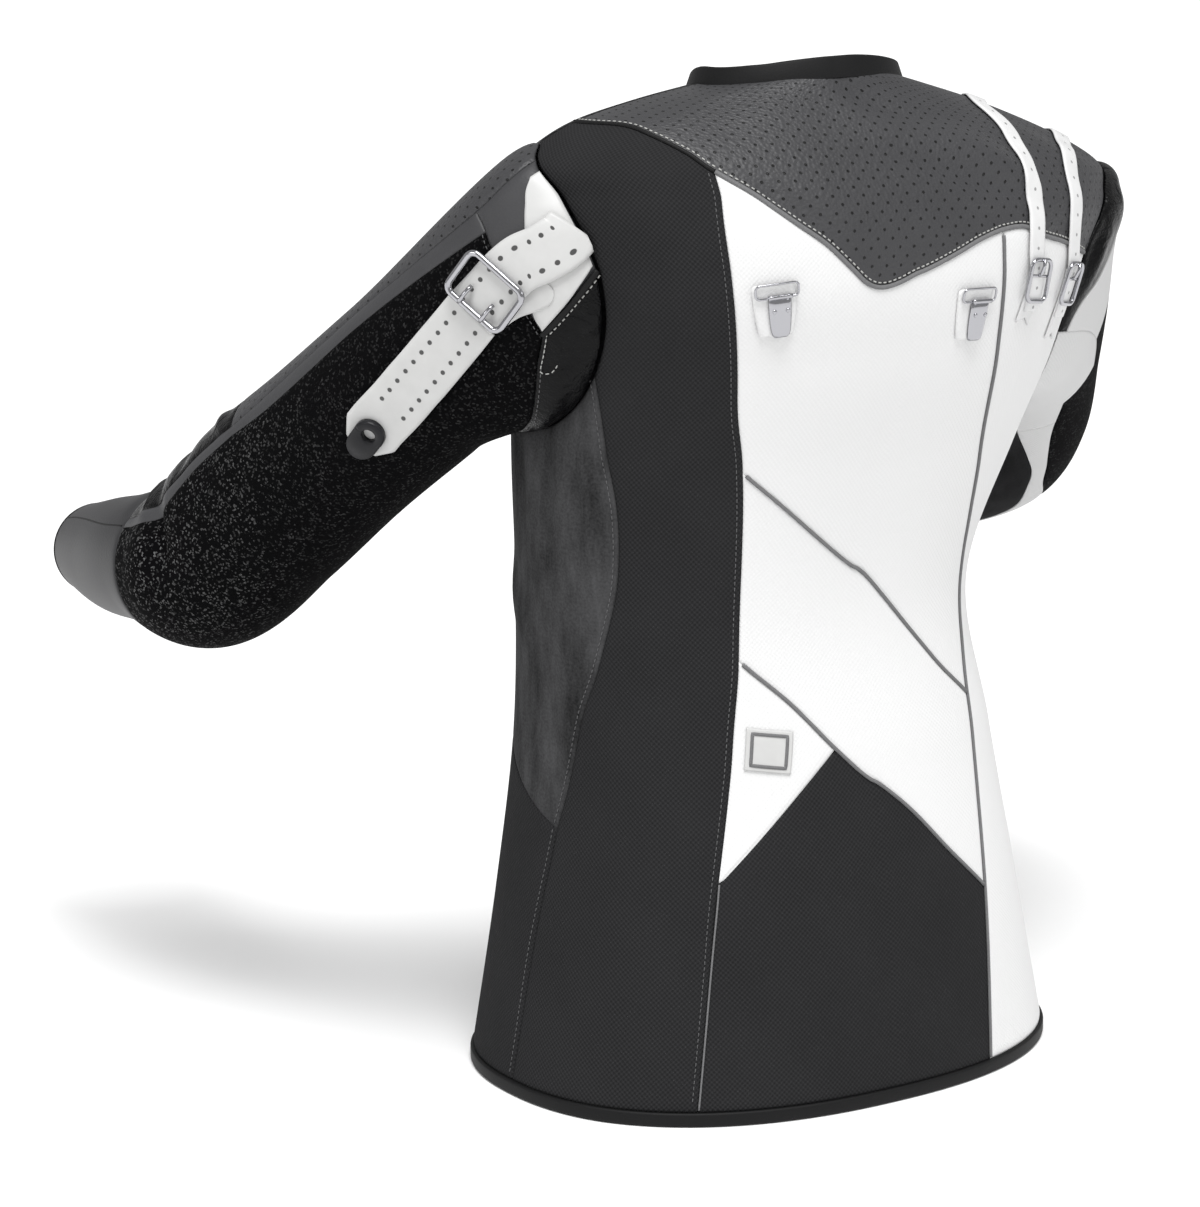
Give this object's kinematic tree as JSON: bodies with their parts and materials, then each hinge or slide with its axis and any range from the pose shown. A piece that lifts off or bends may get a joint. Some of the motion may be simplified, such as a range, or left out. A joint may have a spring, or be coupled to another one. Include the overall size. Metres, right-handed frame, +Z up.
{
  "type": "target-shooting jacket",
  "caption": "Stiff target-shooting jacket standing open on its hem: canvas and leather panels, bent sleeves with grip rubber, shoulder straps and a sling strap with buckle and hook.",
  "frame": {"origin": "middle of the bounding box, on the floor that the hem stands on", "axes": "+Z up, the front of the jacket faces -Y, the wearer's left arm is on +X"},
  "size_m": [0.7405, 0.6571, 0.6948],
  "materials": {
    "perforated_leather": "pebble-grained charcoal leather with small punched holes",
    "nappa_leather": "soft black leather with a low gloss",
    "dark_canvas": "matt dark grey canvas",
    "suede": "mottled dark grey suede",
    "white_canvas": "fine white cloth, slightly shiny",
    "grey_piping": "mid grey folded piping",
    "black_binding": "black woven binding",
    "white_strap": "pale grey coated strap",
    "chrome": "polished plated metal",
    "stripe_leather": "smooth dark grey leather",
    "grip_rubber": "rough black grip rubber with fine pale specks",
    "grey_leather": "smooth mid grey leather",
    "black_plastic": "plain black plastic"
  },
  "bodies": {
    "root": {"yoke_back": "perforated_leather", "sleeve_left_top": "perforated_leather", "yoke_front_left": "nappa_leather", "yoke_front_right": "nappa_leather", "sleeve_left_gusset": "nappa_leather", "sleeve_right_cap": "nappa_leather", "back_side_left": "dark_canvas", "side_left_lower": "dark_canvas", "front_left": "dark_canvas", "front_right": "dark_canvas", "back_lower": "dark_canvas", "front_placket": "dark_canvas", "sleeve_left_under": "dark_canvas", "sleeve_right_top": "dark_canvas", "underarm_left": "suede", "sleeve_right_inner": "suede", "back_upper": "white_canvas", "back_band": "white_canvas", "back_triangle": "white_canvas", "back_side_right": "white_canvas", "side_right": "white_canvas", "side_patch": "white_canvas", "sleeve_right_band": "white_canvas", "sleeve_right_white": "white_canvas", "sleeve_right_strip": "white_canvas", "sleeve_right_cuff": "white_canvas", "sling_anchor": "white_canvas", "piping_yoke": "grey_piping", "piping_right": "grey_piping", "piping_diagonal_high": "grey_piping", "piping_diagonal_low": "grey_piping", "hem_binding": "black_binding", "collar_band": "black_binding", "clip_tab_left": "white_strap", "clip_tab_right": "white_strap", "strap_inner": "white_strap", "strap_outer": "white_strap", "strap_tab_inner": "white_strap", "strap_tab_outer": "white_strap", "sling_strap_low": "white_strap", "sling_strap_high": "white_strap", "clip_left": "chrome", "clip_right": "chrome", "buckle_inner": "chrome", "buckle_outer": "chrome", "sling_buckle": "chrome", "sleeve_left_stripe": "stripe_leather", "sleeve_left_head": "stripe_leather", "sleeve_left_elbow": "stripe_leather", "sleeve_left_grip": "grip_rubber", "sleeve_right_grip": "grip_rubber", "sleeve_left_cuff": "grey_leather", "button_1": "black_plastic", "button_2": "black_plastic", "button_3": "black_plastic", "button_4": "black_plastic", "sling_hook": "black_plastic"}
  },
  "joints": []
}
